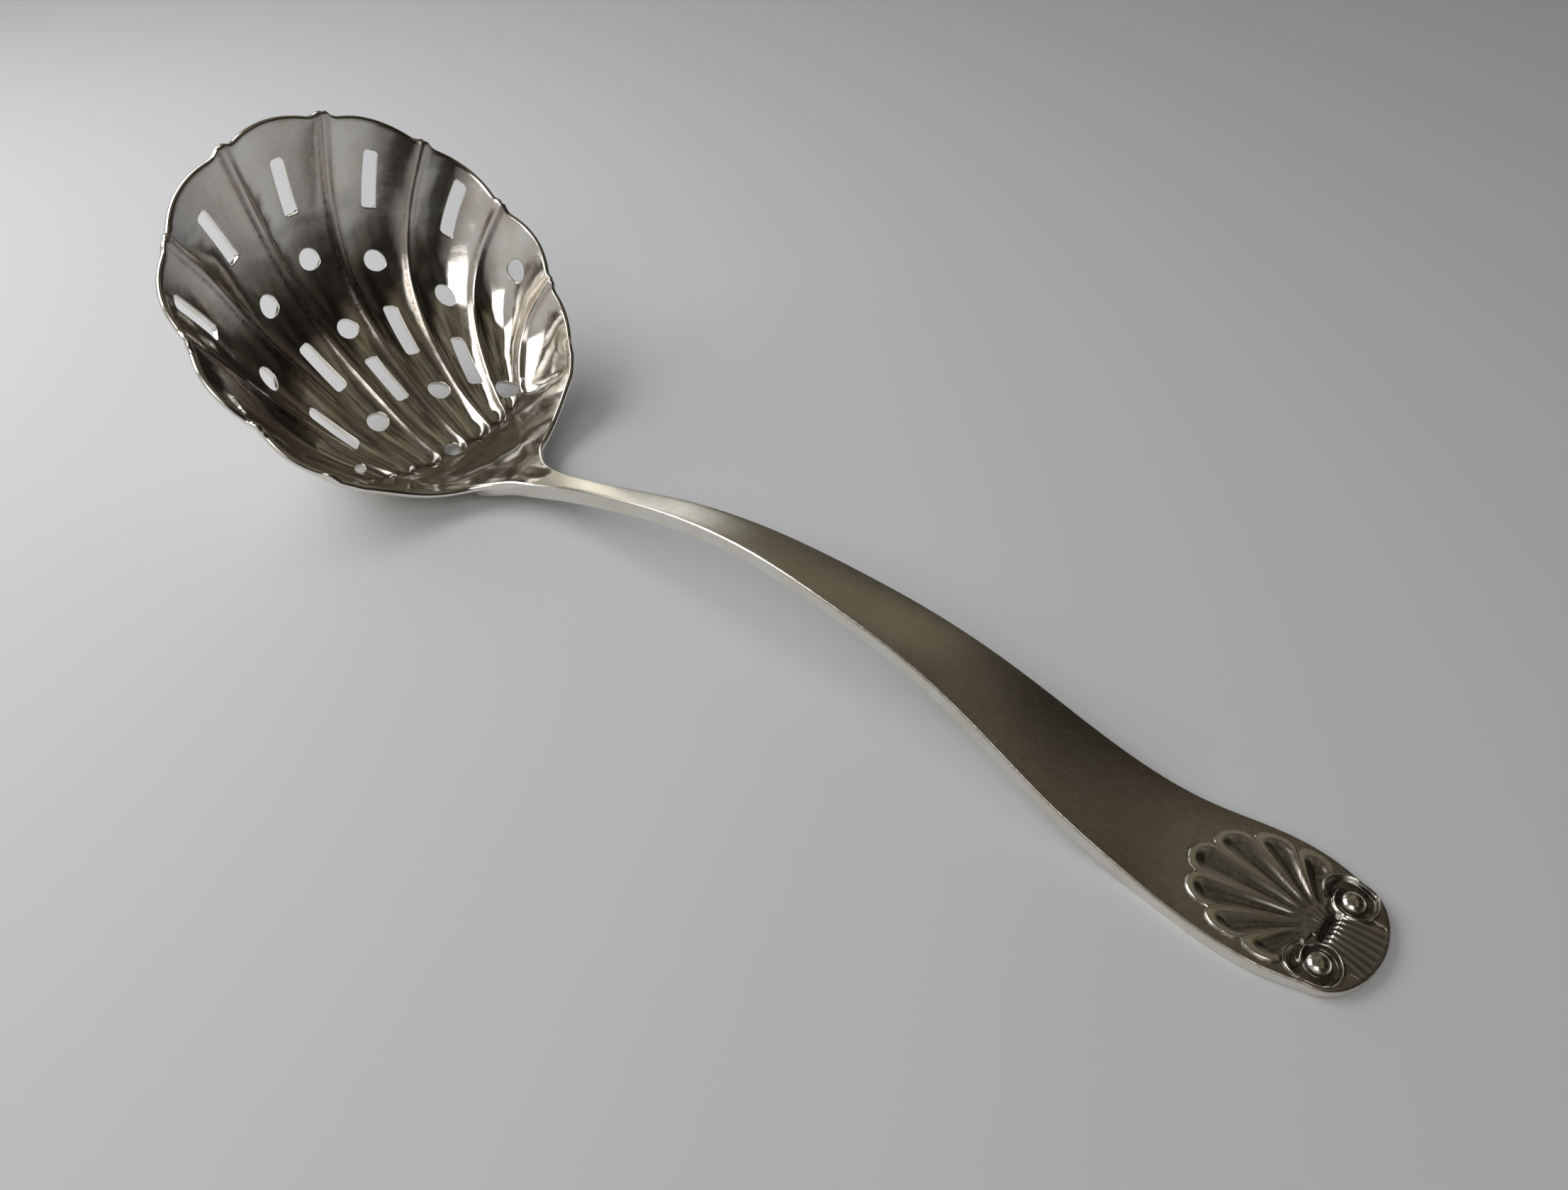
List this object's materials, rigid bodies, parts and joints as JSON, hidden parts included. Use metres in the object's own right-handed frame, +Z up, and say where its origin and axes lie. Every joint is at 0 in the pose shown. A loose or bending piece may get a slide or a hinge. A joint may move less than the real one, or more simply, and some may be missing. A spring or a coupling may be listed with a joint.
{
  "type": "sugar sifter ladle",
  "caption": "Small silver straining ladle: a deep scallop-shell bowl pierced with slots and round holes, on a flat curved handle that ends in a shell and scroll ornament.",
  "frame": {"origin": "centre of the footprint on the table, at table height", "axes": "+X along the ladle from the handle tip to the bowl, +Z up, XZ is the plane of symmetry"},
  "size_m": [0.1619, 0.055, 0.0422],
  "materials": {
    "bowl_silver": "polished silver, lightly tarnished along the ridges",
    "handle_silver": "silver with fine wear scratches and a soft warm tarnish",
    "ornament_silver": "struck silver, darkened in the recesses and bright on the raised edges"
  },
  "bodies": {
    "root": {"bowl": "bowl_silver", "handle": "handle_silver", "shell_ornament": "ornament_silver"}
  },
  "joints": []
}
